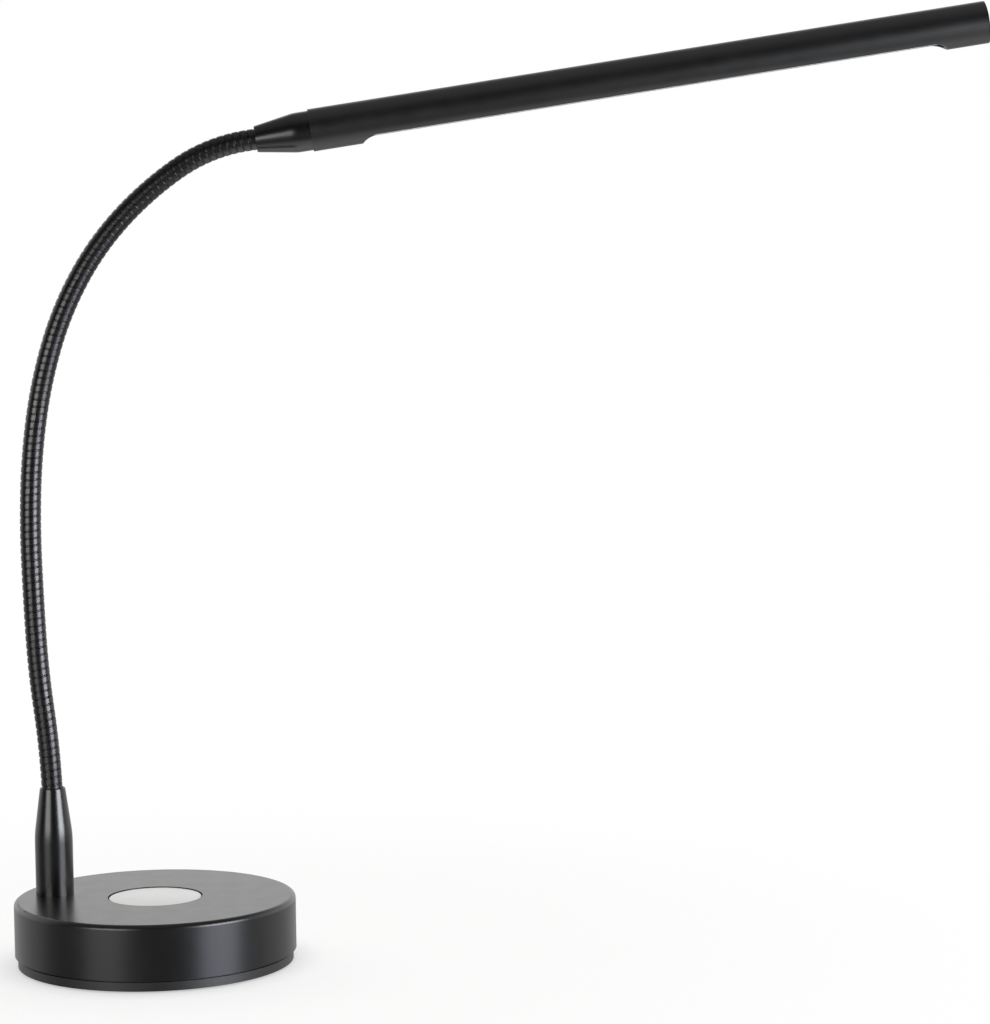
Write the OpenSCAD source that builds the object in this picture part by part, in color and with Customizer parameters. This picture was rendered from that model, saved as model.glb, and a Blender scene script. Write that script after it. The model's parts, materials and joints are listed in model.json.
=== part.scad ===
// Desk lamp: a slim LED tube on a gooseneck, with a round weighted base.
// Millimetres. The origin is the centre of the base where it stands on the table, +Z is up,
// and the neck and the lamp head lie in a plane parallel to XZ, reaching towards +X.

/* [Base] */
// Outside diameter of the round base
base_d = 120; // [110:1:160]
// Height of the base above the table
base_h = 28.2; // [26.5:0.1:40]
// Side wall of the base shell
shell_wall = 2.5; // [1.5:0.1:3]
// Top plate of the base shell
shell_top = 2.5; // [2:0.1:4]
// Rounding of the top rim
rim_r = 2; // [0.5:0.1:2.4]
// Height of the seam between the shell and the bottom cover
seam_z = 5.2; // [4.3:0.1:6]
// Height of the groove between the shell and the bottom cover
seam_gap = 1; // [0.3:0.1:1.2]
// How far the bottom cover stands inside the shell
cover_inset = 1.3; // [0.5:0.1:2]
// Floor of the bottom cover
cover_floor = 2.2; // [1.8:0.1:3]
// Wall of the bottom cover's locating lip
lip_wall = 2; // [1.2:0.1:2.5]
// Height of the locating lip above the seam
lip_h = 2; // [1:0.5:4]
// Thickness of the anti-slip pad
pad_t = 1.4; // [1:0.1:2.5]
// How far the pad stands out of the bottom cover
pad_proud = 0.5; // [0.4:0.1:0.9]
// Width of the bare ring between the pad and the cover's edge
pad_margin = 5; // [3:0.5:5.5]
// Thickness of the iron ballast
ballast_t = 10; // [6:0.5:10]

/* [Touch switch] */
// Diameter of the opening in the base top
touch_hole_d = 40.4; // [34:0.2:42]
// Diameter of the touch plate
touch_d = 39.2; // [30:0.1:40]
// Thickness of the touch plate
touch_t = 1.2; // [0.8:0.1:1.6]
// How far the plate lies below the base top
touch_recess = 0.3; // [0.2:0.1:1]
// Depth of the dark groove round the plate
touch_groove = 0.5; // [0.2:0.1:1]
// Flange of the plate's tray
tray_t = 1.2; // [1:0.1:2]
// Width of the tray's flange under the base top
tray_flange = 3; // [2:0.5:4]
// Wire of the contact spring
spring_wire_d = 0.6; // [0.4:0.1:0.8]
// Outside diameter of the contact spring
spring_d = 6; // [5:0.5:10]
// Turns of the contact spring
spring_turns = 4; // [3:1:5]

/* [Post] */
// Distance of the post's axis inside the edge of the base
post_inset = 15.5; // [15:0.5:18]
// Direction of the post, in degrees from +X
post_angle = 168.4; // [150:0.1:180]
// Height of the post above the base
post_h = 46.3; // [40:0.1:70]
// Diameter of the post's straight foot
post_d = 16.2; // [15:0.1:17]
// Height of the straight foot
post_foot_h = 22.5; // [18:0.5:30]
// Diameter of the post's mouth
post_mouth_d = 10.9; // [10.6:0.1:12]
// Radius of the soft shoulder between foot and cone
post_shoulder_r = 55; // [20:1:60]
// Depth of the bore that holds the neck
post_socket = 14; // [10:0.5:18]

/* [Threaded tube] */
// Diameter of the hollow threaded tube
nipple_d = 10; // [9:0.5:10]
// Diameter of its bore
nipple_bore_d = 6.4; // [5:0.1:6.5]
// Length screwed into the post
nipple_grip = 9; // [6:0.5:12]
// Nut across its flats
nut_flats = 17; // [15:0.5:18]
// Thickness of the nut
nut_t = 4; // [3:0.5:4]
// Diameter of the washer
washer_d = 19; // [18:0.5:20]
// Thickness of the washer
washer_t = 1; // [0.8:0.1:1.5]
// Length of the threaded tube below the nut
nipple_tail = 1; // [0.5:0.1:1.5]

/* [Gooseneck] */
// Outside diameter over the ribs
neck_d = 9.1; // [8.6:0.1:9.2]
// Diameter in the grooves
neck_core_d = 7.4; // [7.2:0.1:7.8]
// Diameter of the bore for the lead
neck_bore_d = 4; // [3.8:0.1:4.2]
// Distance from rib to rib
rib_pitch = 3.13; // [3.1:0.01:3.4]
// Width of a rib
rib_w = 2.05; // [1.9:0.05:2.1]
// Ribs on each link
link_ribs = 10; // [8:1:12]
// How far each link turns the neck towards +X, from the post upwards, in degrees
link_turns = [-4.4, 4.4, 1.2, 4.1, 6.2, 8.5, 12.2, 13.9, 12.4, 25.6];
// Lean of the neck where it leaves the post, in degrees
foot_lean = -2.5; // [-4:0.5:-1]
// Length over which the neck's foot bends to that lean
foot_bend_len = 6; // [4:0.5:8]
// Height of the lowest ball joint above the post
foot_stand = 3.4; // [2.5:0.1:4]
// Distance of the highest ball joint from the head connector
tip_stand = 4.2; // [4.2:0.1:6]
// Radius of the ball in each joint
ball_r = 3; // [2.9:0.02:3.04]
// Bore through each ball
ball_bore_d = 4.4; // [4.3:0.1:4.6]
// Stem that carries each ball
stem_d = 5.2; // [5:0.1:5.3]
// How far each socket closes over its ball
socket_lip = 1; // [0.8:0.05:1.05]

/* [Head connector] */
// Diameter at the neck
connector_small_d = 11.2; // [10.6:0.1:12]
// Diameter of the shoulder in front of the tube
connector_d = 16.8; // [15.8:0.1:17.2]
// Length outside the tube
connector_len = 23.5; // [20:0.05:30]
// Length of the straight shoulder
connector_shoulder = 6.5; // [5:0.5:8]
// Radius of the soft edge between cone and shoulder
connector_blend_r = 18; // [8:1:20]
// Depth of the bore that holds the neck
connector_socket = 12; // [10:0.5:14]
// Length of the spigot inside the tube
spigot_len = 12; // [10:0.5:16]
// Length of the spigot's full round part
spigot_round = 5.5; // [5:0.5:7]
// Bore for the lead
connector_bore_d = 5; // [4:0.1:6]

/* [Head tube] */
// Outside diameter of the lamp head
tube_d = 18; // [17.2:0.1:19.5]
// Wall of the lamp head
tube_wall = 1.2; // [1:0.1:1.3]
// Length of the lamp head
tube_len = 290.5; // [240:0.5:400]
// Depth of the flat milled along its underside
mill_depth = 2.8; // [2.3:0.1:3]
// Radius of the milling cutter at the flat's ends
cutter_r = 8.5; // [5:0.5:10]
// Distance of the flat's corner from the connector
mill_start = 21.1; // [18:0.1:30]
// Distance of the flat's other corner from the end of the tube
mill_end = 17.8; // [12:0.1:30]
// Thickness of the end cap's visible edge
cap_edge = 0.8; // [0.5:0.1:2]
// Length of the end cap's plug
cap_plug = 6; // [5:0.5:8]

/* [Light] */
// Thickness of the aluminium carrier
carrier_t = 2; // [1.5:0.1:2.2]
// Distance of the carrier's lower face from the axis of the tube, upwards
carrier_drop = 1.5; // [1.5:0.1:1.8]
// Thickness of the LED board
led_board_t = 1; // [0.8:0.1:1.2]
// Width of the LED board
led_board_w = 9; // [7:0.5:10]
// Distance from one LED to the next
led_pitch = 10; // [6:0.5:20]
// Width of an LED across the tube
led_w = 2.8; // [2:0.1:3.5]
// Length of an LED along the tube
led_len = 3.5; // [2:0.1:5]
// Thickness of an LED
led_t = 0.8; // [0.6:0.1:1.2]
// Thickness of the diffuser's flange
diffuser_t = 1; // [0.8:0.1:1.2]
// How far the diffuser lies inside the milled flat
diffuser_recess = 0.1; // [0.1:0.05:0.3]
// Depth of the diffuser's face below its flange
diffuser_face_t = 0.6; // [0.4:0.1:0.7]

/* [Electrics] */
// Thickness of the circuit boards in the base
board_t = 1.6; // [1:0.1:1.6]
// Width of the control board
board_w = 28; // [26:1:34]
// Height of the control board's lower face above the ballast
board_gap = 3.3; // [3.2:0.1:3.6]
// Diameter of the two-core lead through the neck
lead_d = 3; // [2.6:0.1:3.1]
// Bend radius of the lead under the post
lead_bend_r = 6; // [5:0.5:7]
// Width of the power jack
jack_w = 9; // [8.6:0.1:10]
// Height of the power jack
jack_h = 9.5; // [9:0.1:9.8]
// Depth of the power jack behind the shell
jack_depth = 14; // [11:0.5:15]
// Diameter of the jack's round nose
jack_nose_d = 7.8; // [7.4:0.1:8.4]
// Diameter of the socket for the plug
jack_bore_d = 5.8; // [5.6:0.1:6]
// Depth of the socket for the plug
jack_bore_depth = 9; // [8:0.5:10]
// Diameter of the jack's centre pin
jack_pin_d = 2; // [1.9:0.1:2.1]

/* [Fasteners and fits] */
// Distance of the cover screws inside the edge of the base
cover_screw_inset = 10; // [9.5:0.5:14]
// Direction of the first cover screw, in degrees from +X
cover_screw_angle = 50; // [40:1:60]
// Diameter of the cover screws
cover_screw_d = 3; // [2.5:0.1:3.5]
// Length of the cover screws below the head
cover_screw_len = 10; // [8:0.5:14]
// Diameter of the screw bosses
boss_d = 8; // [7:0.5:8]
// Diameter of the small screws on the board and the carrier
small_screw_d = 2; // [1.6:0.1:2.2]
// Length of the board's screws below the head
small_screw_len = 4; // [3:0.5:4.5]
// Diameter of the grub screws
grub_d = 3; // [2.5:0.1:3.4]
// Gap between pieces that are slid together
slide_gap = 0.05; // [0.03:0.01:0.1]
// Gap round loosely placed pieces
loose_gap = 0.4; // [0.2:0.1:0.6]
// Running gap in the ball joints
ball_gap = 0.08; // [0.05:0.01:0.1]
// Gap between two lengths of lead where the neck bends
lead_gap = 0.4; // [0.35:0.01:0.5]

/* [Hidden] */

$fn = 64;
small_fn = 24;
cut = 1;            // how far a cutting shape runs past the face that it cuts
weld = 0.05;        // how far the parts of one solid run into each other
arc_steps = 6;      // points on each soft edge

// Base
base_r = base_d/2;
shell_in_r = base_r - shell_wall;
shell_in_z = base_h - shell_top;
cover_r = base_r - cover_inset;
cover_z = pad_proud;
floor_z = pad_t + cover_floor;
lip_r = shell_in_r - slide_gap;
ballast_r = lip_r - lip_wall - loose_gap;
ballast_top = floor_z + ballast_t;
pad_r = cover_r - pad_margin;
post_x = (base_r - post_inset)*cos(post_angle);
post_y = (base_r - post_inset)*sin(post_angle);

// Screw heads, in diameters of the screw
head_width = 1.9;
flat_head_height = 0.4;
pan_head_height = 0.6;
cover_head_r = head_width/2*cover_screw_d;
cover_head_t = flat_head_height*cover_screw_d;
small_head_r = head_width/2*small_screw_d;
small_head_t = pan_head_height*small_screw_d;

// Touch switch
plate_top = base_h - touch_recess;
plate_z = plate_top - touch_t;
tray_z = shell_in_z - tray_t;
tray_r = touch_hole_d/2 - slide_gap;
tray_flange_r = tray_r + tray_flange;
tray_hole_r = spring_d/2 + loose_gap;

// Control board and jack
board_z = ballast_top + board_gap;
board_top = board_z + board_t;
jack_front = width_at(shell_in_r, jack_w/2) - slide_gap;
jack_z = board_z - jack_h/2;
board_y_max = width_at(shell_in_r, board_w/2) - loose_gap;
board_y_min = -spring_d;
board_boss_d = boss_d/2 + small_screw_d;
board_screw_x = (board_w - board_boss_d)/2;
board_screw_ys = [tray_flange_r + boss_d/2, board_y_max - boss_d];
lead_bend_d = lead_d - slide_gap;   // a hair thinner in its bends
lead_end_x = -board_w/4;            // where the lead meets the board
coil_d = 8;
coil_h = 4;
chip_size = [5, 4, 1.5];

// Post
post_bottom = base_h;
post_mouth = base_h + post_h;
mouth_play = 0.2;                    // room for the neck's lean at the mouth
post_bore_d = neck_d + 2*mouth_play;
post_drop = (post_d - post_mouth_d)/2;
post_rise = post_h - post_foot_h;
shoulder_share = 0.9;                // of the largest shoulder that the cone has room for
shoulder_r = min(post_shoulder_r, shoulder_share*(post_drop*post_drop + post_rise*post_rise)/(2*post_drop));
to_mouth = [shoulder_r - post_drop, post_rise];  // from the shoulder's centre
post_slope = atan2(to_mouth.y, to_mouth.x) - acos(shoulder_r/norm(to_mouth));
post_grub_z = post_h - post_socket + grub_d;
nut_z = shell_in_z - washer_t - nut_t;
nipple_z = nut_z - nipple_tail;
nipple_top = post_bottom + nipple_grip;
mouth_edge_r = 0.4;                  // soft edge round the neck on the post and the connector

// Neck: each link starts with a ball and ends with the socket of the next joint
rib_r = neck_d/2;
core_r = neck_core_d/2;
bore_r = neck_bore_d/2;
link_len = link_ribs*rib_pitch;
link_count = len(link_turns);
groove_w = rib_pitch - rib_w;
ball_len = socket_lip + groove_w + rib_w;
socket_len = rib_pitch + rib_w - socket_lip;
bend_len = link_len - ball_len - socket_len;
foot_in = post_socket - cut;
tip_in = connector_socket - cut;
head_lean = foot_lean + sum_to(link_turns, link_count);

// Head
tube_r = tube_d/2;
tube_in_r = tube_r - tube_wall;
spigot_r = tube_in_r - slide_gap;
flat_x = tube_r - mill_depth;
mill_run = width_at(cutter_r, cutter_r - mill_depth);
carrier_x = -carrier_drop - carrier_t;
carrier_start = spigot_round + loose_gap;
carrier_screw_y = lead_d/2 + small_head_r + loose_gap;
spigot_grip = width_at(spigot_r, carrier_screw_y + small_screw_d/2) + carrier_x;
carrier_screw_len = carrier_t + spigot_grip - loose_gap;
carrier_end = tube_len - cap_edge - cap_plug/2;
led_board_x = -carrier_drop;
led_board_start = spigot_len + loose_gap;
led_board_end = tube_len - cap_edge - cap_plug - loose_gap;
led_x = led_board_x + led_board_t;
led_first = mill_start + mill_run + led_len;
led_last = tube_len - mill_end - mill_run - led_len;
diffuser_x = flat_x - diffuser_recess - diffuser_face_t - diffuser_t;
diffuser_start = led_board_start + loose_gap;
diffuser_end = led_board_end;

function sum_to(list, n) = n <= 0 ? 0 : list[n - 1] + sum_to(list, n - 1);
function width_at(r, x) = sqrt(r*r - x*x);

// Radius of a bend that turns by so many degrees over a length
function bend_r(turn, length) = length*180/(PI*turn);
function chord(turn, length) = 2*bend_r(turn, length)*sin(turn/2);

// Direction of the neck at joint n, from 1 at the post, in degrees from the vertical
function lean(n) = foot_lean + sum_to(link_turns, n - 1);

// How far a run of straight, bend and straight carries the neck along X and Z
function run_x(at, turn, first, bend, last) =
    first*sin(at) + chord(turn, bend)*sin(at + turn/2) + last*sin(at + turn);
function run_z(at, turn, first, bend, last) =
    first*cos(at) + chord(turn, bend)*cos(at + turn/2) + last*cos(at + turn);

foot_straight = post_mouth + foot_stand - socket_len - foot_bend_len;
function joint_x(n) = n == 1
    ? post_x + run_x(0, foot_lean, 0, foot_bend_len, socket_len)
    : joint_x(n - 1) + run_x(lean(n - 1), link_turns[n - 2], ball_len, bend_len, socket_len);
function joint_z(n) = n == 1
    ? foot_straight + run_z(0, foot_lean, 0, foot_bend_len, socket_len)
    : joint_z(n - 1) + run_z(lean(n - 1), link_turns[n - 2], ball_len, bend_len, socket_len);

// Points of a round stretch of a profile, about a centre
function arc_points(x, y, r, from, to) =
    [for (i = [0:arc_steps]) let (a = from + (to - from)*i/arc_steps) [x + r*cos(a), y + r*sin(a)]];

// ---- Placing ----

module at_joint(n) translate([joint_x(n), post_y, joint_z(n)]) rotate([0, lean(n), 0]) children();

// The lamp head's own frame: +Z along the tube from the connector's mouth, +X to the underside
module at_connector() at_joint(link_count + 1) translate([0, 0, tip_stand]) children();

// From the seam between the connector and the tube
module at_tube() at_connector() translate([0, 0, connector_len]) children();

// A round piece whose axis points along +Y
module along_y() rotate([-90, 0, 0]) children();

module cover_screw_places()
    for (k = [0:3]) rotate([0, 0, cover_screw_angle + 90*k])
        translate([base_r - cover_screw_inset, 0, 0]) children();

module board_screw_places()
    for (side = [-1, 1], y = board_screw_ys) translate([side*board_screw_x, y, 0]) children();

module carrier_screw_places()
    for (side = [-1, 1])
        translate([0, side*carrier_screw_y, (carrier_start + spigot_len)/2]) children();

// ---- Shapes used by several pieces ----

// A screw with a round flat head, standing on z = 0 and pointing up
module pan_screw(d, length, head_r, head_t) {
    cylinder(d = d, h = head_t + length, $fn = small_fn);
    cylinder(r = head_r, h = head_t, $fn = small_fn);
}

// A grub screw with its hexagon socket, its outer end at z = 0 and pointing down
module grub_screw(length) difference() {
    socket = min(grub_d, length)/2;
    translate([0, 0, -length]) cylinder(d = grub_d, h = length, $fn = small_fn);
    translate([0, 0, -socket]) cylinder(d = grub_d/2, h = socket + cut, $fn = 6);
}

// Sweeps a profile along an arc from the origin, leaving it along +Z and bending towards +X
module bent(turn, length) {
    if (turn < 0) mirror([1, 0, 0]) bent(-turn, length) children();
    else rotate([90, 0, 180]) translate([-bend_r(turn, length), 0, 0])
        rotate_extrude(angle = turn) translate([bend_r(turn, length), 0]) children();
}

// The same arc, run a little into the straight parts at both ends
module welded_bend(turn, length) on_bend(turn, length, -weld)
    bent(turn*(length + 2*weld)/length, length + 2*weld) children();

module ring(r, bore) difference() {
    circle(r);
    circle(bore);
}

// Moves its children a distance along such an arc
module on_bend(turn, length, distance) {
    r = bend_r(turn, length);
    a = turn*distance/length;
    translate([r*(1 - cos(a)), 0, r*sin(a)]) rotate([0, a, 0]) children();
}

// The bent middle of a link, with the given number of ribs
module ribbed_bend(turn, length, ribs) {
    welded_bend(turn, length) ring(core_r, bore_r);
    for (k = [1:1:ribs])
        on_bend(turn, length, k*rib_pitch - rib_w)
            bent(turn*rib_w/length, rib_w) ring(rib_r, (core_r + bore_r)/2);
}

// The lower end of a link: a hollow ball about the joint's centre, its stem and the first rib
module ball_end() rotate_extrude() difference() {
    union() {
        intersection() {
            circle(ball_r);
            translate([0, -ball_r]) square([ball_r, 2*ball_r]);
        }
        square([stem_d/2, ball_len - rib_w + weld]);
        translate([0, ball_len - rib_w]) square([rib_r, rib_w]);
    }
    translate([0, -ball_r - cut]) square([ball_bore_d/2, ball_r + ball_len + 2*cut]);
}

// The upper end of a link: two ribs round the socket for the next ball, about the joint's centre
module socket_end() rotate_extrude() difference() {
    union() {
        translate([0, -socket_len]) square([core_r, socket_len + socket_lip]);
        translate([0, -socket_len]) square([rib_r, rib_w]);
        translate([0, socket_lip - rib_w]) square([rib_r, rib_w]);
    }
    circle(ball_r + ball_gap);
    translate([0, -socket_len - cut]) square([ball_bore_d/2, socket_len + socket_lip + 2*cut]);
}

// ---- Base ----

module base_shell() color("#2b2b2b") difference() {
    union() {
        rotate_extrude() difference() {
            union() {
                translate([0, seam_z]) square([base_r, base_h - seam_z - rim_r]);
                square_to(base_r - rim_r, seam_z, base_h);
                translate([base_r - rim_r, base_h - rim_r]) circle(rim_r);
            }
            square_to(shell_in_r, seam_z - cut, shell_in_z);
        }
        cover_screw_places() translate([0, 0, floor_z]) cylinder(d = boss_d, h = shell_in_z - floor_z + weld);
        board_screw_places()
            translate([0, 0, board_top]) cylinder(d = board_boss_d, h = shell_in_z - board_top + weld);
    }
    translate([0, 0, shell_in_z - cut]) cylinder(d = touch_hole_d, h = shell_top + 2*cut);
    translate([post_x, post_y, shell_in_z - cut])
        cylinder(d = nipple_d + 2*slide_gap, h = shell_top + 2*cut);
    translate([0, base_r - 2*shell_wall, jack_z])
        along_y() cylinder(d = jack_nose_d + 2*slide_gap, h = 3*shell_wall);
    cover_screw_places() translate([0, 0, floor_z - cut])
        cylinder(d = cover_screw_d + 2*slide_gap, h = cover_screw_len, $fn = small_fn);
    board_screw_places() translate([0, 0, board_top - cut])
        cylinder(d = small_screw_d + 2*slide_gap, h = small_screw_len, $fn = small_fn);
}

// A rectangle of a profile, from the axis to r and between two heights
module square_to(r, low, high) translate([0, low]) square([r, high - low]);

module bottom_cover() color("#242424") difference() {
    rotate_extrude() difference() {
        union() {
            square_to(cover_r, cover_z, seam_z - seam_gap);
            square_to(lip_r, cover_z, seam_z + lip_h);
        }
        square_to(lip_r - lip_wall, floor_z, seam_z + lip_h + cut);
        square_to(pad_r + slide_gap, cover_z - cut, pad_t);
    }
    cover_screw_places() {
        translate([0, 0, pad_t - cut]) cylinder(r = cover_head_r + slide_gap, h = cut + cover_head_t);
        translate([0, 0, pad_t]) cylinder(d = cover_screw_d + 2*slide_gap, h = cover_floor + cut);
    }
}

module anti_slip_pad() color("#151515") cylinder(r = pad_r, h = pad_t);

module cover_screws() color("silver") cover_screw_places()
    translate([0, 0, pad_t]) pan_screw(cover_screw_d, cover_screw_len, cover_head_r, cover_head_t);

module ballast_weight() color("dimgray") difference() {
    translate([0, 0, floor_z]) cylinder(r = ballast_r, h = ballast_t);
    cover_screw_places() translate([0, 0, floor_z - cut])
        cylinder(d = boss_d + loose_gap, h = ballast_t + 2*cut);
    translate([-jack_w/2 - loose_gap, jack_front - jack_depth - loose_gap, jack_z - jack_h/2 - loose_gap])
        cube([jack_w + 2*loose_gap, jack_depth + shell_wall, jack_h]);
}

// ---- Touch switch ----

module touch_tray() color("#101010") rotate_extrude() difference() {
    union() {
        square_to(tray_r, tray_z, plate_top - touch_groove);
        square_to(tray_flange_r, tray_z, shell_in_z);
    }
    square_to(touch_d/2 + slide_gap, plate_z, base_h);
    square_to(tray_hole_r, tray_z - cut, base_h);
}

module touch_plate() color("#d5d5d5") translate([0, 0, plate_z]) cylinder(d = touch_d, h = touch_t);

// A coil spring that carries the touch signal from the plate to the board
module touch_spring() color("silver") {
    coil_r = (spring_d - spring_wire_d)/2;
    wire_r = spring_wire_d/2;
    low = board_top + wire_r;
    rise = plate_z - board_top - spring_wire_d;
    per_turn = 20;
    sides = 8;
    rings = spring_turns*per_turn;
    points = [for (i = [0:rings], j = [0:sides - 1])
        let (a = 360*i/per_turn, b = 360*j/sides, r = coil_r + wire_r*cos(b))
            [r*cos(a), r*sin(a), low + rise*i/rings + wire_r*sin(b)]];
    walls = [for (i = [0:rings - 1], j = [0:sides - 1])
        let (k = (j + 1) % sides)
            [i*sides + j, (i + 1)*sides + j, (i + 1)*sides + k, i*sides + k]];
    ends = [[for (j = [0:sides - 1]) j], [for (j = [0:sides - 1]) rings*sides + sides - 1 - j]];
    polyhedron(points, concat(walls, ends));
}

// ---- Electrics in the base ----

module control_board() color("#1d5c34") difference() {
    translate([-board_w/2, board_y_min, board_z]) cube([board_w, board_y_max - board_y_min, board_t]);
    board_screw_places() translate([0, 0, board_z - cut])
        cylinder(d = small_screw_d + 2*slide_gap, h = board_t + 2*cut, $fn = small_fn);
}

module driver_chip() color("#202020")
    translate([-lead_end_x, tray_hole_r + chip_size.y, board_top]) cube(chip_size);

module driver_coil() color("#3a3a3a")
    translate([0, (board_screw_ys[0] + board_screw_ys[1])/2, board_top]) cylinder(d = coil_d, h = coil_h);

module board_screws() color("silver") board_screw_places()
    translate([0, 0, board_z - small_head_t])
        pan_screw(small_screw_d, small_screw_len, small_head_r, small_head_t);

module dc_jack() color("#181818") difference() {
    union() {
        translate([-jack_w/2, jack_front - jack_depth, board_z - jack_h]) cube([jack_w, jack_depth, jack_h]);
        translate([0, jack_front - weld, jack_z]) along_y() cylinder(d = jack_nose_d, h = shell_wall);
    }
    translate([0, jack_front + shell_wall - jack_bore_depth, jack_z])
        along_y() cylinder(d = jack_bore_d, h = jack_bore_depth + cut);
}

module dc_jack_pin() color("silver") translate([0, jack_front + shell_wall - jack_bore_depth, jack_z])
    along_y() cylinder(d = jack_pin_d, h = jack_bore_depth - cut, $fn = small_fn);

// From the control board to the lowest joint of the neck
module lead_base() color("#303030") {
    lead_z = board_z - lead_d/2 - slide_gap;
    turn_z = lead_z + lead_bend_r;
    translate([post_x, post_y, turn_z]) {
        cylinder(d = lead_d, h = foot_straight - turn_z);
        mirror([0, 0, 1]) welded_bend(90, lead_bend_r*PI/2) circle(lead_bend_d/2);
        translate([lead_bend_r, 0, -lead_bend_r]) rotate([0, 90, 0])
            cylinder(d = lead_d, h = lead_end_x - post_x - lead_bend_r);
    }
    translate([post_x, post_y, foot_straight]) {
        welded_bend(foot_lean, foot_bend_len) circle(lead_bend_d/2);
        on_bend(foot_lean, foot_bend_len, foot_bend_len) cylinder(d = lead_d, h = socket_len - lead_gap/2);
    }
}

// ---- Post ----

module post() color("#2b2b2b") translate([post_x, post_y, post_bottom]) difference() {
    rotate_extrude() {
        polygon(concat(
            [[0, 0], [post_d/2, 0]],
            arc_points(post_d/2 - shoulder_r, post_foot_h, shoulder_r, 0, post_slope),
            arc_points(post_mouth_d/2 - mouth_edge_r, post_h - mouth_edge_r, mouth_edge_r, post_slope, 90),
            [[0, post_h]]
        ));
    }
    translate([0, 0, post_h - post_socket]) cylinder(d = post_bore_d, h = post_socket + cut);
    translate([0, 0, -cut]) cylinder(d = nipple_bore_d, h = post_h);
    translate([0, 0, -cut]) cylinder(d = nipple_d + 2*slide_gap, h = nipple_grip + loose_gap + cut);
    translate([0, 0, post_grub_z]) along_y() cylinder(d = grub_d + 2*slide_gap, h = post_d, $fn = small_fn);
}

// Holds the neck in the post, from behind
module post_grub_screw() color("silver") {
    length = grub_length(post_r(post_grub_z));
    translate([post_x, post_y + rib_r + slide_gap + length, post_bottom + post_grub_z])
        along_y() grub_screw(length);
}

// Radius of the post's cone at a height
function post_r(z) = post_mouth_d/2 + (post_h - z)*tan(post_slope);
function grub_length(outer_r) = outer_r - rib_r - loose_gap;

module post_nipple() color("goldenrod") translate([post_x, post_y, nipple_z]) difference() {
    cylinder(d = nipple_d, h = nipple_top - nipple_z);
    translate([0, 0, -cut]) cylinder(d = nipple_bore_d, h = nipple_top - nipple_z + 2*cut);
}

module post_washer() color("silver") translate([post_x, post_y, shell_in_z - washer_t]) difference() {
    cylinder(d = washer_d, h = washer_t);
    translate([0, 0, -cut]) cylinder(d = nipple_d + 2*slide_gap, h = washer_t + 2*cut);
}

module post_nut() color("silver") translate([post_x, post_y, nut_z]) difference() {
    cylinder(d = nut_flats/cos(30), h = nut_t, $fn = 6);
    translate([0, 0, -cut]) cylinder(d = nipple_d + 2*slide_gap, h = nut_t + 2*cut);
}

// ---- Gooseneck ----

// The neck's fixed foot: smooth in the post, then the socket of the lowest joint
module neck_foot() color("#262626") translate([post_x, post_y, foot_straight]) {
    foot_low = post_mouth - foot_in - foot_straight;
    difference() {
        translate([0, 0, foot_low]) cylinder(r = rib_r, h = weld - foot_low);
        translate([0, 0, foot_low - cut]) cylinder(d = ball_bore_d, h = 2*cut - foot_low);
    }
    welded_bend(foot_lean, foot_bend_len) ring(core_r, bore_r);
    on_bend(foot_lean, foot_bend_len, foot_bend_len) translate([0, 0, socket_len]) socket_end();
}

module neck_link(n) color("#262626") at_joint(n) {
    turn = link_turns[n - 1];
    ball_end();
    translate([0, 0, ball_len]) {
        ribbed_bend(turn, bend_len, link_ribs - 3);
        on_bend(turn, bend_len, bend_len) translate([0, 0, socket_len]) socket_end();
    }
}

// The length of lead inside one link
module neck_lead(n) color("#303030") at_joint(n) {
    turn = link_turns[n - 1];
    translate([0, 0, lead_gap/2]) cylinder(d = lead_d, h = ball_len - lead_gap/2);
    translate([0, 0, ball_len]) {
        welded_bend(turn, bend_len) circle(lead_bend_d/2);
        on_bend(turn, bend_len, bend_len) cylinder(d = lead_d, h = socket_len - lead_gap/2);
    }
}

// ---- Lamp head ----

// The neck's fixed tip: the ball of the highest joint, then smooth in the connector
module neck_tip() color("#262626") at_joint(link_count + 1) {
    ball_end();
    difference() {
        translate([0, 0, ball_len - weld]) cylinder(r = rib_r, h = tip_stand + tip_in - ball_len + weld);
        cylinder(d = ball_bore_d, h = tip_stand + tip_in + cut);
    }
}

module lead_head() color("#303030") at_joint(link_count + 1)
    translate([0, 0, lead_gap/2])
        cylinder(d = lead_d, h = tip_stand + connector_len + led_board_start - lead_gap/2);

module head_connector() color("#2b2b2b") at_connector() difference() {
    union() {
        rotate_extrude() {
            cone_len = connector_len - connector_shoulder;
            slope = atan((connector_d - connector_small_d)/2/cone_len);
            run = connector_blend_r*tan(slope/2);
            polygon(concat(
                [[0, 0]],
                arc_points(connector_small_d/2 - mouth_edge_r, mouth_edge_r, mouth_edge_r, -90, -slope),
                arc_points(connector_d/2 - connector_blend_r, cone_len + run, connector_blend_r, -slope, 0),
                [[connector_d/2, connector_len], [0, connector_len]]
            ));
        }
        translate([0, 0, connector_len - weld]) difference() {
            cylinder(r = spigot_r, h = spigot_len + weld);
            translate([carrier_x, -tube_r, spigot_round + weld]) cube([tube_d, tube_d, spigot_len]);
        }
    }
    translate([0, 0, -cut]) cylinder(d = neck_d + 2*slide_gap, h = connector_socket + cut);
    cylinder(d = connector_bore_d, h = connector_len + spigot_len + cut);
    translate([0, 0, connector_socket/2])
        along_y() cylinder(d = grub_d + 2*slide_gap, h = tube_d, $fn = small_fn);
    translate([0, 0, connector_len + spigot_round/2])
        along_y() cylinder(d = grub_d + 2*slide_gap, h = tube_d, $fn = small_fn);
    translate([carrier_x, 0, connector_len]) carrier_screw_places() rotate([0, -90, 0])
        cylinder(d = small_screw_d + 2*slide_gap, h = spigot_grip, $fn = small_fn);
}

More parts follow.
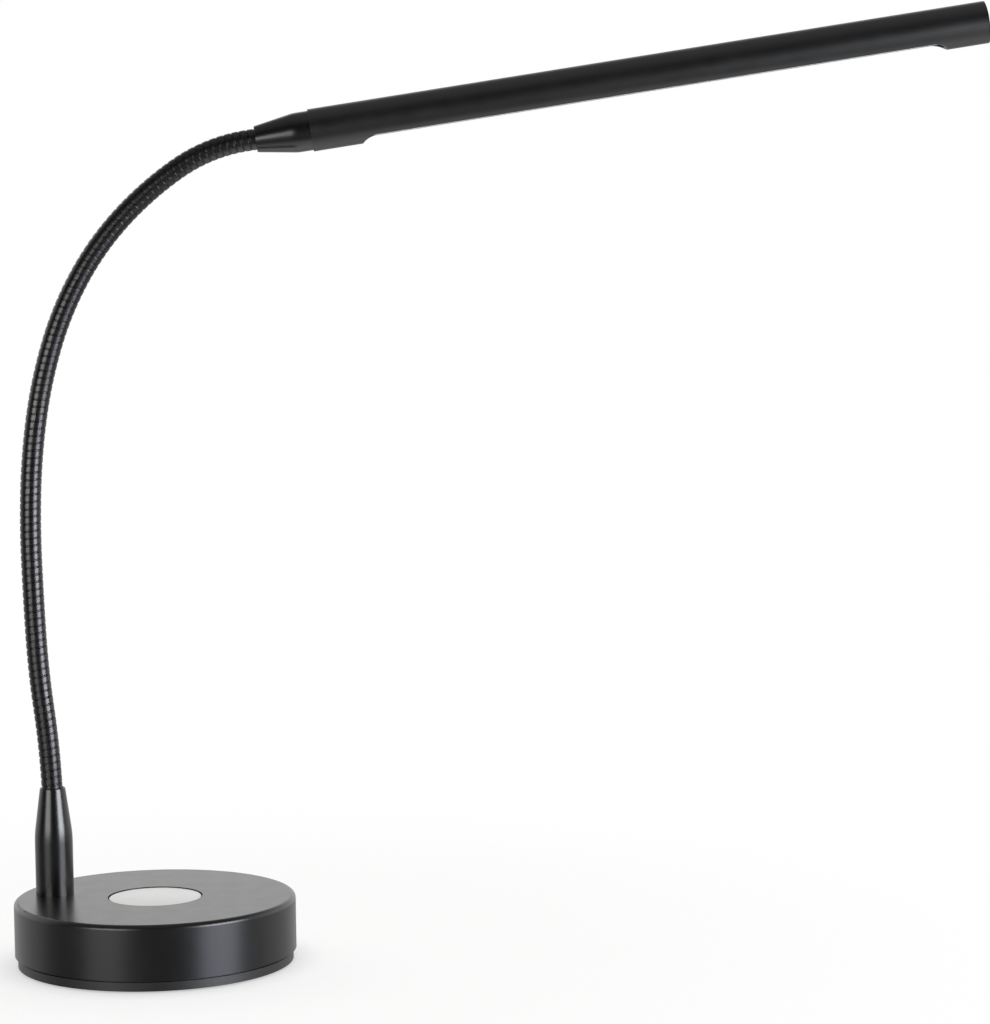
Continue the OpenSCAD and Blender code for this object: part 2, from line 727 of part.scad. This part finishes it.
// One holds the neck and one holds the tube, both from behind
module head_grub_screws() color("silver") {
    neck_grub = grub_length(connector_small_d/2
        + connector_socket/2*(connector_d - connector_small_d)/2/(connector_len - connector_shoulder));
    at_connector() translate([0, rib_r + slide_gap + neck_grub, connector_socket/2])
        along_y() grub_screw(neck_grub);
    tube_grub = tube_r - connector_bore_d/2 - 2*loose_gap;
    at_tube() translate([0, tube_r - loose_gap, spigot_round/2]) along_y() grub_screw(tube_grub);
}

module head_tube() color("#262626") at_tube() difference() {
    cylinder(r = tube_r, h = tube_len - cap_edge);
    translate([0, 0, -cut]) cylinder(r = tube_in_r, h = tube_len + cut);
    translate([0, 0, spigot_round/2])
        along_y() cylinder(d = grub_d + 2*slide_gap, h = tube_d, $fn = small_fn);
    milled_flat();
}

// The cutter enters and leaves on a round, so both ends of the flat are hollow curves
module milled_flat() {
    first = mill_start + mill_run;
    last = tube_len - mill_end - mill_run;
    translate([flat_x, -tube_r, first]) cube([mill_depth + cut, tube_d, last - first]);
    for (z = [first, last])
        translate([flat_x + cutter_r, -tube_r, z]) along_y() cylinder(r = cutter_r, h = tube_d);
}

module led_carrier() color("#c8c8c8") at_tube() difference() {
    half_w = width_at(tube_in_r, carrier_x) - loose_gap/2;
    translate([carrier_x, -half_w, carrier_start]) cube([carrier_t, 2*half_w, carrier_end - carrier_start]);
    carrier_screw_places() rotate([0, -90, 0])
        cylinder(d = small_screw_d + 2*slide_gap, h = tube_d, $fn = small_fn);
}

module carrier_screws() color("silver") at_tube() carrier_screw_places()
    translate([small_head_t - carrier_drop, 0, 0]) rotate([0, -90, 0])
        pan_screw(small_screw_d, carrier_screw_len, small_head_r, small_head_t);

module led_board() color("#f0f0f0") at_tube()
    translate([led_board_x, -led_board_w/2, led_board_start])
        cube([led_board_t, led_board_w, led_board_end - led_board_start]);

module leds() color("#f2e27a") at_tube()
    for (z = [led_first:led_pitch:led_last])
        translate([led_x, -led_w/2, z - led_len/2]) cube([led_t, led_w, led_len]);

module diffuser() color("#f6f6f2") at_tube() {
    half_flange = width_at(tube_in_r, diffuser_x + diffuser_t) - loose_gap/4;
    half_face = width_at(tube_in_r, flat_x) - loose_gap/4;
    length = diffuser_end - diffuser_start;
    translate([diffuser_x, -half_flange, diffuser_start]) cube([diffuser_t, 2*half_flange, length]);
    translate([diffuser_x + diffuser_t - weld, -half_face, diffuser_start])
        cube([diffuser_face_t + weld, 2*half_face, length]);
}

// Its plug has a slot that holds the end of the carrier
module end_cap() color("#1f1f1f") at_tube() translate([0, 0, tube_len - cap_edge]) difference() {
    union() {
        cylinder(r = tube_r, h = cap_edge);
        translate([0, 0, -cap_plug]) cylinder(r = spigot_r, h = cap_plug + weld);
    }
    translate([carrier_x - slide_gap, -tube_r, -cap_plug - cut])
        cube([carrier_t + 2*slide_gap, tube_d, cap_plug/2 + cut + slide_gap]);
}

base_shell();
bottom_cover();
anti_slip_pad();
cover_screws();
ballast_weight();
touch_tray();
touch_plate();
touch_spring();
control_board();
driver_chip();
driver_coil();
board_screws();
dc_jack();
dc_jack_pin();
post();
post_nipple();
post_washer();
post_nut();
post_grub_screw();
neck_foot();
lead_base();
neck_link(1);  // neck_link_1
neck_link(2);  // neck_link_2
neck_link(3);  // neck_link_3
neck_link(4);  // neck_link_4
neck_link(5);  // neck_link_5
neck_link(6);  // neck_link_6
neck_link(7);  // neck_link_7
neck_link(8);  // neck_link_8
neck_link(9);  // neck_link_9
neck_link(10);  // neck_link_10
neck_lead(1);  // neck_lead_1
neck_lead(2);  // neck_lead_2
neck_lead(3);  // neck_lead_3
neck_lead(4);  // neck_lead_4
neck_lead(5);  // neck_lead_5
neck_lead(6);  // neck_lead_6
neck_lead(7);  // neck_lead_7
neck_lead(8);  // neck_lead_8
neck_lead(9);  // neck_lead_9
neck_lead(10);  // neck_lead_10
neck_tip();
lead_head();
head_connector();
head_grub_screws();
head_tube();
led_carrier();
carrier_screws();
led_board();
leds();
diffuser();
end_cap();
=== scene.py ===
import json
import math

import bpy
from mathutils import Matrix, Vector


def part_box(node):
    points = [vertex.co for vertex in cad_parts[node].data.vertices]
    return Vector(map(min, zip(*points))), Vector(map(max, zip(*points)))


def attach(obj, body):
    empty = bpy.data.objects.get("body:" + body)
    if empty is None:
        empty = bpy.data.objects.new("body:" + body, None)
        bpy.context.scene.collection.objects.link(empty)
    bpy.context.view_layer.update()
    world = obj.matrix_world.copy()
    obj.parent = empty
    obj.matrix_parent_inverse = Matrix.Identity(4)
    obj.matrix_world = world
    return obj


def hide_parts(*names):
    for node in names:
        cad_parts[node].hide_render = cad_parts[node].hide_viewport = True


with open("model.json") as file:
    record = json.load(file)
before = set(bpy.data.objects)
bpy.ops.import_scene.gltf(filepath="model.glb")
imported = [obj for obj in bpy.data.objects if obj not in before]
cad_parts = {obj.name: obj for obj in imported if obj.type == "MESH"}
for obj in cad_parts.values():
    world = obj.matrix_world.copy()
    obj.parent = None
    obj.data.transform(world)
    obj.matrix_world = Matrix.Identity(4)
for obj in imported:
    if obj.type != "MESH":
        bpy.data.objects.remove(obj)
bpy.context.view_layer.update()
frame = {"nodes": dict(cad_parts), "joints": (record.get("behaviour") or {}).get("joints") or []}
nodes = frame["nodes"]
joints = frame["joints"]
mm = 0.001

print("studio: camera, floor and lights")

studio = {
    "cameraPlace": (0.10028, -1.35539, 0.30674),
    "cameraTurn": (85.1165, 0.7313, -2.0625),    # degrees about X, Y and Z
    "lens": 112.5,                               # mm, and the sensor too
    "sensor": 36,
    "clip": (0.05, 50),                          # metres
    "floorRadius": 12,                           # metres
    "floorDrop": 0.00005,                        # metres, so that it doesn't coincide with the base
    "floorColour": "#F6F6F5",
    "floorFade": (0.10, 0.42),                   # metres from the base where the floor turns white
    "floorWhite": 0.52,                          # share of plain white in the floor before that
    "backdrop": 1.3,                             # the white backdrop behind the lamp
    "darkSide": 0.03,                            # the camera's side of the room
    "backdropFrom": (-0.25, 0.30),               # where it sets in, as a direction along Y
    "backdropTop": (0.30, 0.95),                 # and where it ends, as a direction along Z
    "backdropFoot": (-0.28, 0.08),               # it is dimmer about the horizon and below
    "footShare": 0.45,
    "tableFar": 0.26,                            # the table as gloss sees it at a flat angle
    "tableEdge": (0.05, -0.20),
    "tableNear": 1.6,                            # and steeply from above
    "tableFrom": (-0.62, -1.0),
    "ceilingGlow": 0.36,                         # and the ceiling
    "ceilingFrom": (0.50, 1.0),
    "silkPlace": (0.1, -0.1, 1.6),               # metres, as is its size
    "silkSize": (1.6, 1.4),
    "silkWatts": 25,
}

# bearing in degrees to the right, distance, foot and (width, height) in metres, watts and colour
softboxes = {
    "softboxRight": (57, 1.35, 0.0, (0.85, 0.55), 25, "#F7F9FF"),
    "softboxRightBelow": (56, 1.35, -0.62, (0.80, 0.60), 5, "#E6ECFF"),
    "softboxLeft": (-33, 1.35, 0.0, (0.80, 0.55), 9.2, "#FFFEFC"),
    "softboxLeftBelow": (-38, 1.35, -0.62, (0.75, 0.60), 1.3, "#FFFFFF"),
}


# an sRGB hex code, turned linear
def linearColour(code):
    parts = [int(code[i:i + 2], 16)/255 for i in (1, 3, 5)]
    return [p/12.92 if p <= 0.04045 else ((p + 0.055)/1.055)**2.4 for p in parts] + [1.0]


# inputs go by name, with _ for a space, or by number as in0, in1 and so on
def addNode(tree, kind, settings=None, **inputs):
    node = tree.nodes.new(kind)
    for key, value in (settings or {}).items():
        setattr(node, key, value)
    for key, value in inputs.items():
        byNumber = key.startswith("in") and key[2:].isdigit()
        socket = node.inputs[int(key[2:]) if byNumber else key.replace("_", " ")]
        if isinstance(value, bpy.types.NodeSocket):
            tree.links.new(value, socket)
        else:
            socket.default_value = value
    return node


# a soft step from low to high while the value goes through the span
def softStep(tree, value, span, low=0.0, high=1.0):
    step = addNode(tree, "ShaderNodeMapRange", {"interpolation_type": "SMOOTHSTEP"}, Value=value,
                   From_Min=span[0], From_Max=span[1], To_Min=low, To_Max=high)
    return step.outputs[0]


def combine(tree, operation, first, second):
    return addNode(tree, "ShaderNodeMath", {"operation": operation}, in0=first, in1=second).outputs[0]


def makeCamera():
    bpy.ops.object.camera_add(location=studio["cameraPlace"],
                              rotation=[math.radians(a) for a in studio["cameraTurn"]])
    camera = bpy.context.object
    camera.name = "studioCamera"
    camera.data.lens = studio["lens"]
    camera.data.sensor_width = studio["sensor"]
    camera.data.clip_start, camera.data.clip_end = studio["clip"]
    bpy.context.scene.camera = camera


def makeWorld():
    world = bpy.data.worlds.new("studioRoom")
    bpy.context.scene.world = world
    world.use_nodes = True
    tree = world.node_tree
    tree.nodes.clear()
    way = addNode(tree, "ShaderNodeTexCoord")
    split = addNode(tree, "ShaderNodeSeparateXYZ", Vector=way.outputs["Generated"])
    up = split.outputs["Z"]
    behind = softStep(tree, split.outputs["Y"], studio["backdropFrom"])
    below = softStep(tree, up, studio["backdropTop"], 1.0, 0.0)
    foot = softStep(tree, up, studio["backdropFoot"], studio["footShare"], 1.0)
    backdrop = combine(tree, "MULTIPLY", combine(tree, "MULTIPLY", behind, below), foot)
    room = addNode(tree, "ShaderNodeMapRange", Value=backdrop, To_Min=studio["darkSide"],
                   To_Max=studio["backdrop"]).outputs[0]
    tableFar = softStep(tree, up, studio["tableEdge"], 0.0, studio["tableFar"])
    tableNear = softStep(tree, up, studio["tableFrom"], 0.0, studio["tableNear"])
    ceiling = softStep(tree, up, studio["ceilingFrom"], 0.0, studio["ceilingGlow"])
    flat = combine(tree, "MAXIMUM", combine(tree, "MAXIMUM", tableFar, tableNear), ceiling)
    mirrored = combine(tree, "MAXIMUM", room, flat)
    rays = addNode(tree, "ShaderNodeLightPath")
    lit = addNode(tree, "ShaderNodeMix", in0=rays.outputs["Is Glossy Ray"], in2=room, in3=mirrored)
    direct = combine(tree, "MAXIMUM", rays.outputs["Is Camera Ray"], rays.outputs["Is Transmission Ray"])
    strength = addNode(tree, "ShaderNodeMix", in0=direct, in2=lit.outputs[0], in3=1.0)
    light = addNode(tree, "ShaderNodeBackground", Color=(1, 1, 1, 1), Strength=strength.outputs[0])
    addNode(tree, "ShaderNodeOutputWorld", Surface=light.outputs[0])


# an upright softbox for the gloss alone, with its bearing from the camera's side
def makeSoftbox(name, bearing, away, foot, size, watts, colour):
    way = math.radians(bearing)
    place = (away*math.sin(way), -away*math.cos(way), foot + size[1]/2)
    bpy.ops.object.light_add(type="AREA", location=place, rotation=(math.pi/2, 0, way))
    lamp = bpy.context.object
    lamp.name = name
    lamp.data.shape = "RECTANGLE"
    lamp.data.size, lamp.data.size_y = size
    lamp.data.energy = watts
    lamp.data.color = linearColour(colour)[:3]
    lamp.visible_camera = lamp.visible_diffuse = False


# a silk over the set: it lights the floor and the plate, and no gloss shows it
def makeTopLight():
    bpy.ops.object.light_add(type="AREA", location=studio["silkPlace"])
    lamp = bpy.context.object
    lamp.name = "silkAbove"
    lamp.data.shape = "RECTANGLE"
    lamp.data.size, lamp.data.size_y = studio["silkSize"]
    lamp.data.energy = studio["silkWatts"]
    lamp.visible_camera = lamp.visible_glossy = False


def makeFloor():
    bpy.ops.mesh.primitive_circle_add(vertices=96, radius=studio["floorRadius"], fill_type="NGON",
                                      location=(0, 0, -studio["floorDrop"]))
    floor = bpy.context.object
    floor.name = "studioFloor"
    material = bpy.data.materials.new("paperSweep")
    material.use_nodes = True
    tree = material.node_tree
    tree.nodes.clear()
    place = addNode(tree, "ShaderNodeTexCoord")
    away = addNode(tree, "ShaderNodeVectorMath", {"operation": "LENGTH"}, in0=place.outputs["Object"])
    fade = softStep(tree, away.outputs["Value"], studio["floorFade"], studio["floorWhite"], 1.0)
    rays = addNode(tree, "ShaderNodeLightPath")
    direct = combine(tree, "MAXIMUM", rays.outputs["Is Camera Ray"], rays.outputs["Is Glossy Ray"])
    seen = combine(tree, "MAXIMUM", direct, rays.outputs["Is Transmission Ray"])
    share = combine(tree, "MULTIPLY", seen, fade)
    paper = addNode(tree, "ShaderNodeBsdfDiffuse", Color=linearColour(studio["floorColour"]))
    white = addNode(tree, "ShaderNodeEmission", Color=(1, 1, 1, 1), Strength=1.0)
    mixed = addNode(tree, "ShaderNodeMixShader", in0=share, in1=paper.outputs[0], in2=white.outputs[0])
    addNode(tree, "ShaderNodeOutputMaterial", Surface=mixed.outputs[0])
    floor.data.materials.append(material)
    floor.visible_glossy = floor.visible_shadow = False      # gloss sees the lower softboxes in its place


bpy.context.scene.view_settings.view_transform = "Standard"
makeCamera()
makeWorld()
makeFloor()
for name, values in softboxes.items():
    makeSoftbox(name, *values)
makeTopLight()

print("materials")

texture = {
    "cloudDetail": 3.0,
    "grainDetail": 2.0,
    "cloudSpan": (0.3, 0.7),                     # the values of the noise that roughness is spread over
    "bumpStrength": 0.35,
}


# in mm: grain is the size of the fine bumps, depth their height and patch the size of the clouds of tone
def finishMaterial(name, colour, rough, metallic=0.0, grain=0.5, depth=0.02, mottle=0.05, ior=1.5, patch=9.0,
                   roughSpread=0.03, stretch=(1, 1, 1), **shader):
    material = bpy.data.materials.new(name)
    material.use_nodes = True
    tree = material.node_tree
    tree.nodes.clear()
    place = addNode(tree, "ShaderNodeTexCoord")
    turned = addNode(tree, "ShaderNodeMapping", Vector=place.outputs["Object"], Scale=stretch)
    cloud = addNode(tree, "ShaderNodeTexNoise", Vector=place.outputs["Object"], Scale=1/(patch*mm),
                    Detail=texture["cloudDetail"])
    fine = addNode(tree, "ShaderNodeTexNoise", Vector=turned.outputs[0], Scale=1/(grain*mm),
                   Detail=texture["grainDetail"])
    low = [c*(1 - mottle) for c in linearColour(colour)[:3]] + [1]
    high = [min(1, c*(1 + mottle)) for c in linearColour(colour)[:3]] + [1]
    tone = addNode(tree, "ShaderNodeMix", {"data_type": "RGBA"}, in0=cloud.outputs["Fac"], in6=low, in7=high)
    dull = addNode(tree, "ShaderNodeMapRange", Value=cloud.outputs["Fac"], From_Min=texture["cloudSpan"][0],
                   From_Max=texture["cloudSpan"][1], To_Min=rough - roughSpread, To_Max=rough + roughSpread)
    bump = addNode(tree, "ShaderNodeBump", Height=fine.outputs["Fac"], Strength=texture["bumpStrength"],
                   Distance=depth*mm)
    body = addNode(tree, "ShaderNodeBsdfPrincipled", Base_Color=tone.outputs[2], Roughness=dull.outputs[0],
                   Metallic=metallic, IOR=ior, Normal=bump.outputs[0])
    for key, value in shader.items():
        body.inputs[key.replace("_", " ")].default_value = value
    addNode(tree, "ShaderNodeOutputMaterial", Surface=body.outputs[0])
    return material


finishes = {
    # moulded ABS under satin black paint: deep black face on, and a soft grey sheen at a flat angle
    "satinPaintedAbs": finishMaterial("satinPaintedAbs", "#101010", 0.30, grain=0.7, depth=0.004, ior=1.47,
                                      roughSpread=0.012),
    # powder coat on turned metal: smoother than the base, so the softboxes show as stripes
    "satinPowderCoat": finishMaterial("satinPowderCoat", "#0F0F0F", 0.26, grain=0.5, depth=0.002, ior=1.5,
                                      roughSpread=0.01),
    # black anodised extrusion: fine matt grain, with no clear stripe of light
    "blackAnodisedTube": finishMaterial("blackAnodisedTube", "#141414", 0.36, grain=0.35, depth=0.004,
                                        ior=1.5),
    # black lacquer on wound wire, rubbed shiny by bending
    "lacqueredWire": finishMaterial("lacqueredWire", "#0F0F0F", 0.28, grain=0.4, depth=0.002, patch=6,
                                    mottle=0.1, ior=1.5),
    # bare moulded ABS with a spark-eroded face: a little greyer and duller than the paint
    "blackAbs": finishMaterial("blackAbs", "#181818", 0.46, grain=0.35, depth=0.008),
    # closed-cell foam rubber, skived: dead matt and pitted
    "foamRubber": finishMaterial("foamRubber", "#141414", 0.85, grain=0.6, depth=0.08, mottle=0.2),
    # bright zinc plate on steel: light grey with soft reflections and faint clouds
    "zincPlatedSteel": finishMaterial("zincPlatedSteel", "#B8B8B2", 0.28, metallic=1, grain=0.3,
                                      depth=0.006),
    # black oxide on steel: dark blue-grey with an oily sheen
    "blackOxideSteel": finishMaterial("blackOxideSteel", "#26262A", 0.38, metallic=1, grain=0.3,
                                      depth=0.006),
    # sand-cast iron: rough and mottled grey
    "castIron": finishMaterial("castIron", "#4A4845", 0.7, metallic=0.9, grain=1.2, depth=0.2, mottle=0.25),
    # turned brass: warm and bright
    "turnedBrass": finishMaterial("turnedBrass", "#C9A356", 0.25, metallic=1, grain=0.3, depth=0.006),
    # aluminium, finely blasted and clear anodised: even light grey that mirrors nothing clearly
    "blastedAluminium": finishMaterial("blastedAluminium", "#D2D2D0", 0.45, metallic=0.35, grain=0.25,
                                       depth=0.006, mottle=0.02),
    # extruded aluminium as it left the die: fine lines along the strip
    "millAluminium": finishMaterial("millAluminium", "#C4C6C8", 0.35, metallic=1, grain=0.2, depth=0.01,
                                    stretch=(0.05, 1, 1)),
    # glass-fibre board under green solder mask: glossy lacquer, faintly uneven
    "solderMaskGreen": finishMaterial("solderMaskGreen", "#1B5A33", 0.3, grain=1.0, depth=0.01),
    # aluminium board under white solder mask: bright and glossy
    "solderMaskWhite": finishMaterial("solderMaskWhite", "#F0F0EC", 0.3, grain=1.0, depth=0.01,
                                      mottle=0.02),
    # transfer-moulded epoxy: dull black, finely pitted
    "moldedEpoxy": finishMaterial("moldedEpoxy", "#151515", 0.55, grain=0.2, depth=0.02),
    # sintered ferrite: dark grey and grainy
    "sinteredFerrite": finishMaterial("sinteredFerrite", "#3A3A38", 0.6, grain=0.4, depth=0.05),
    # moulded black nylon: smooth with a soft gloss
    "blackNylon": finishMaterial("blackNylon", "#131313", 0.38, grain=0.4, depth=0.006),
    # extruded PVC sheath: smooth and slightly waxy
    "pvcSheath": finishMaterial("pvcSheath", "#171717", 0.5, grain=0.5, depth=0.01),
    # silicone loaded with phosphor: matt lemon yellow
    "ledPhosphor": finishMaterial("ledPhosphor", "#EBD36A", 0.35, grain=0.3, depth=0.006),
    # cast opal acrylic: milky, since it scatters some of the light inside
    "opalAcrylic": finishMaterial("opalAcrylic", "#F4F4F0", 0.4, grain=0.8, depth=0.006, mottle=0.02,
                                  ior=1.49, Subsurface_Weight=0.3),
}

carriedOver = {
    "satinPaintedAbs": ["base_shell", "end_cap"],
    "blackAbs": ["bottom_cover", "touch_tray"],
    "foamRubber": ["anti_slip_pad"],
    "zincPlatedSteel": ["cover_screws", "touch_spring", "board_screws", "post_washer", "post_nut",
                        "carrier_screws"],
    "blackOxideSteel": ["post_grub_screw", "head_grub_screws"],
    "castIron": ["ballast_weight"],
    "turnedBrass": ["post_nipple", "dc_jack_pin"],
    "blastedAluminium": ["touch_plate"],
    "millAluminium": ["led_carrier"],
    "solderMaskGreen": ["control_board"],
    "solderMaskWhite": ["led_board"],
    "moldedEpoxy": ["driver_chip"],
    "sinteredFerrite": ["driver_coil"],
    "blackNylon": ["dc_jack"],
    "satinPowderCoat": ["post", "head_connector"],
    "blackAnodisedTube": ["head_tube"],
    "lacqueredWire": ["neck_foot", "neck_tip"] + ["neck_link_%d" % n for n in range(1, 11)],
    "pvcSheath": ["lead_base", "lead_head"] + ["neck_lead_%d" % n for n in range(1, 11)],
    "ledPhosphor": ["leds"],
    "opalAcrylic": ["diffuser"],
}
for finish, names in carriedOver.items():
    for name in names:
        nodes[name].data.materials.clear()
        nodes[name].data.materials.append(finishes[finish])

print("gooseneck")

neck = {
    "pitch": 3.13,             # mm from rib to rib
    "ribWidth": 2.42,          # mm, as are the next six
    "ribRadius": 4.52,
    "ribEdge": 0.14,
    "edgeFoot": 0.02,
    "floorRadius": 4.08,
    "wireRadius": 0.26,
    "boreRadius": 2.4,
    "edgeShape": [(0.3, 0.35), (0, 1), (0, 1.6)],    # (inwards, up) in ribEdge; two rows hold the rib flat
    "steps": 32,               # faces round the neck
    "footLean": -2.5,          # degrees off upright at the first joint
    # and how many more at each joint after it
    "linkTurns": [-4.4, 4.4, 1.2, 4.1, 6.2, 8.5, 12.2, 13.9, 12.4, 25.6],
    "turnsPerLink": 10,
    "hiddenTurns": 4,          # inside the post and the connector
    "endReach": 0.75,          # of a link, by which the centreline goes past the joints at its ends
    "endHandle": 0.01,         # metres
    "pathSteps": 48,
    "smoothUnder": 38,         # degrees
}


def deselectAll():
    if bpy.context.object and bpy.context.object.mode != "OBJECT":
        bpy.ops.object.mode_set(mode="OBJECT")
    bpy.ops.object.select_all(action="DESELECT")


def useOnly(piece):
    deselectAll()
    piece.select_set(True)
    bpy.context.view_layer.objects.active = piece


def applyModifiers(piece):
    useOnly(piece)
    for modifier in list(piece.modifiers):
        bpy.ops.object.modifier_apply(modifier=modifier.name)


def placeInMesh(piece):
    useOnly(piece)
    bpy.ops.object.transform_apply(location=True, rotation=True, scale=True)


def outwards(piece):
    useOnly(piece)
    bpy.ops.object.mode_set(mode="EDIT")
    bpy.ops.mesh.select_all(action="SELECT")
    bpy.ops.mesh.normals_make_consistent(inside=False)
    bpy.ops.object.mode_set(mode="OBJECT")


def smoothBy(piece, degrees):
    useOnly(piece)
    bpy.ops.object.shade_smooth_by_angle(angle=math.radians(degrees))


# one turn of the strip as (radius, height) in mm: a flat rib, then a thin wire in the groove beside it
def woundStripProfile():
    rib, floor, width, pitch = neck["ribRadius"], neck["floorRadius"], neck["ribWidth"], neck["pitch"]
    soft, wire = neck["ribEdge"], neck["wireRadius"]
    mid = (width + pitch)/2
    edge = [(rib - soft, neck["edgeFoot"])]
    edge += [(rib - soft*inwards, soft*up) for inwards, up in neck["edgeShape"]]
    ribLine = [(floor, 0)] + edge + [(r, width - z) for r, z in reversed(edge)] + [(floor, width)]
    wireLine = [(floor, mid - wire)] + [(floor + wire*math.sin(a), mid - wire*math.cos(a))
                                        for a in (math.pi/3, math.pi/2, 2*math.pi/3)] + [(floor, mid + wire)]
    return ribLine + wireLine + [(floor, pitch), (neck["boreRadius"], pitch), (neck["boreRadius"], 0)]


# a straight length of the strip along +Z
def woundStrip(name, turns):
    profile = woundStripProfile()
    bpy.ops.mesh.primitive_circle_add(vertices=len(profile), fill_type="NOTHING")
    piece = bpy.context.object
    piece.name = name
    for vertex, (radius, height) in zip(piece.data.vertices, profile):
        vertex.co = Vector((0, radius*mm, height*mm))
    wind = piece.modifiers.new("wind", "SCREW")
    wind.axis = "Z"
    wind.angle = math.tau
    wind.screw_offset = neck["pitch"]*mm
    wind.iterations = turns
    wind.steps = wind.render_steps = neck["steps"]
    wind.use_merge_vertices = False
    applyModifiers(piece)
    return piece


def closeEnds(piece):
    useOnly(piece)
    bpy.ops.object.mode_set(mode="EDIT")
    bpy.ops.mesh.select_mode(type="EDGE")
    bpy.ops.mesh.select_all(action="DESELECT")
    bpy.ops.mesh.select_non_manifold(extend=False)
    bpy.ops.mesh.edge_face_add()
    bpy.ops.object.mode_set(mode="OBJECT")


# the neck's centreline, through the joints, and how far along it the first joint lies
def neckPath():
    leans = [neck["footLean"] + sum(neck["linkTurns"][:n]) for n in range(len(joints))]
    knots = [Vector(j["pos_m"]) for j in joints]
    ways = [Vector((math.sin(math.radians(a)), 0, math.cos(math.radians(a)))) for a in leans]
    reach = neck["turnsPerLink"]*neck["pitch"]*mm
    endReach = neck["endReach"]*reach
    postLow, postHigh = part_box("post")
    start = Vector(((postLow.x + postHigh.x)/2, knots[0].y, knots[0].z - endReach))
    knots = [start] + knots + [knots[-1] + ways[-1]*endReach]
    ways = [Vector((0, 0, 1))] + ways + [ways[-1]]
    bpy.ops.curve.primitive_bezier_curve_add()
    path = bpy.context.object
    path.name = "neckPath"
    points = path.data.splines[0].bezier_points
    points.add(len(knots) - len(points))
    for n, (point, knot, way) in enumerate(zip(points, knots, ways)):
        before = (knot - knots[n - 1]).length/3 if n else neck["endHandle"]
        after = (knots[n + 1] - knot).length/3 if n + 1 < len(knots) else neck["endHandle"]
        point.handle_left_type = point.handle_right_type = "FREE"
        point.co, point.handle_left, point.handle_right = knot, knot - way*before, knot + way*after
    path.data.resolution_u = neck["pathSteps"]
    path.data.twist_mode = "MINIMUM"
    return path, endReach


# one rigid length for each body, split at the joints
def buildNeck():
    path, firstJoint = neckPath()
    pitch = neck["pitch"]*mm
    bodies = ["base"] + [joint["child"] for joint in joints]
    lengths = ["neck_foot"] + ["neck_link_%d" % n for n in range(1, len(joints))] + ["neck_tip"]
    for n, (body, length) in enumerate(zip(bodies, lengths)):
        hidden = n in (0, len(joints))           # the ends that sit in the post and in the connector
        turns = neck["hiddenTurns"] if hidden else neck["turnsPerLink"]
        start = -neck["hiddenTurns"] if n == 0 else (n - 1)*neck["turnsPerLink"]
        piece = woundStrip("neckWinding%02d" % (n + 1), turns)
        closeEnds(piece)
        outwards(piece)
        piece.location.z = firstJoint + pitch*(start - 0.5)    # its ends slope, by half a pitch either way
        placeInMesh(piece)
        follow = piece.modifiers.new("follow", "CURVE")
        follow.object = path
        follow.deform_axis = "POS_Z"
        applyModifiers(piece)
        smoothBy(piece, neck["smoothUnder"])
        piece.data.materials.append(finishes["lacqueredWire"])
        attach(piece, body)
        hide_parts(length)
    bpy.data.objects.remove(path)


buildNeck()

print("touch plate")

# a turned disc with a fine bevel
plate = {
    "sides": 128,
    "bevel": 0.22,             # mm
    "bevelSteps": 3,
    "smoothUnder": 30,         # degrees
}


def buildPlate():
    low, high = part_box("touch_plate")
    bpy.ops.mesh.primitive_cylinder_add(vertices=plate["sides"], radius=(high.x - low.x)/2,
                                        depth=high.z - low.z, location=(low + high)/2)
    piece = bpy.context.object
    piece.name = "touchPlate"
    placeInMesh(piece)
    bevel = piece.modifiers.new("edge", "BEVEL")
    bevel.width = plate["bevel"]*mm
    bevel.segments = plate["bevelSteps"]
    bevel.limit_method = "ANGLE"
    applyModifiers(piece)
    smoothBy(piece, plate["smoothUnder"])
    piece.data.materials.append(finishes["blastedAluminium"])
    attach(piece, "base")
    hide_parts("touch_plate")


buildPlate()
